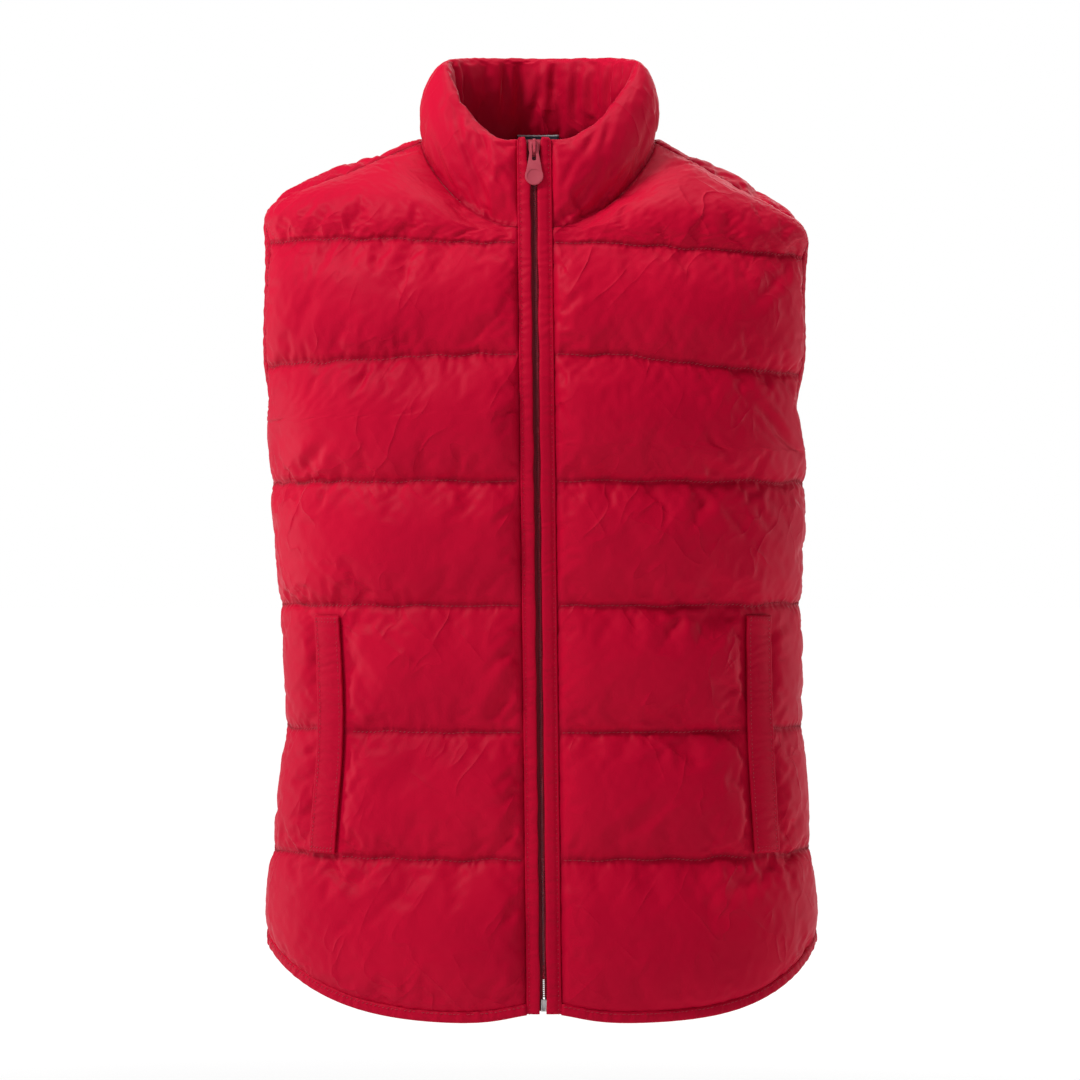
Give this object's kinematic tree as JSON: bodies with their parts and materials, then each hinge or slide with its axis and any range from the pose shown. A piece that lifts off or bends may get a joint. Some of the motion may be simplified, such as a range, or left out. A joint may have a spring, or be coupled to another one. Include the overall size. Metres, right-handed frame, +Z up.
{
  "type": "quilted padded vest",
  "caption": "Sleeveless padded body vest with horizontal quilting, stand collar, full front zip, vertical welt pockets and a curved bound hem, shown filled out and hollow.",
  "frame": {"origin": "midway between the two points where shoulder seam and collar meet, where the wearer's shoulders carry the vest", "axes": "+Z up along the body, +Y towards the wearer's back, so the zip faces -Y and the wearer's right side is at -X"},
  "size_m": [0.4385, 0.293, 0.7598],
  "materials": {
    "shell": "smooth red woven nylon with a soft sheen, quilted over light filling",
    "lining": "thin dark plain-woven lining",
    "zip_tape": "dull dark red woven tape",
    "zip_teeth": "dark red moulded coil",
    "zip_pull": "matte pinkish red coating",
    "zip_metal": "bare silver metal"
  },
  "bodies": {
    "vest": {"front_right": "shell", "front_left": "shell", "back": "shell", "collar": "shell", "placket_right": "shell", "placket_left": "shell", "welt_right": "shell", "welt_left": "shell", "binding_armhole_right": "shell", "binding_armhole_left": "shell", "hem_band_front_right": "shell", "hem_band_front_left": "shell", "hem_band_back": "shell", "lining_front_right": "lining", "lining_front_left": "lining", "lining_back": "lining", "neck_tab": "lining", "zip_tape_right": "zip_tape", "zip_tape_left": "zip_tape", "zip_chain": "zip_teeth", "zip_slider": "zip_pull", "zip_box": "zip_metal"},
    "pull_tab": {"zip_pull": "zip_pull"}
  },
  "joints": [
    {"name": "pull_hinge", "type": "hinge", "parent": "vest", "child": "pull_tab", "pos_m": [-0.00292, -0.10713, -0.007], "axis": [-1, 0, 0], "range_deg": [0, 160]}
  ]
}
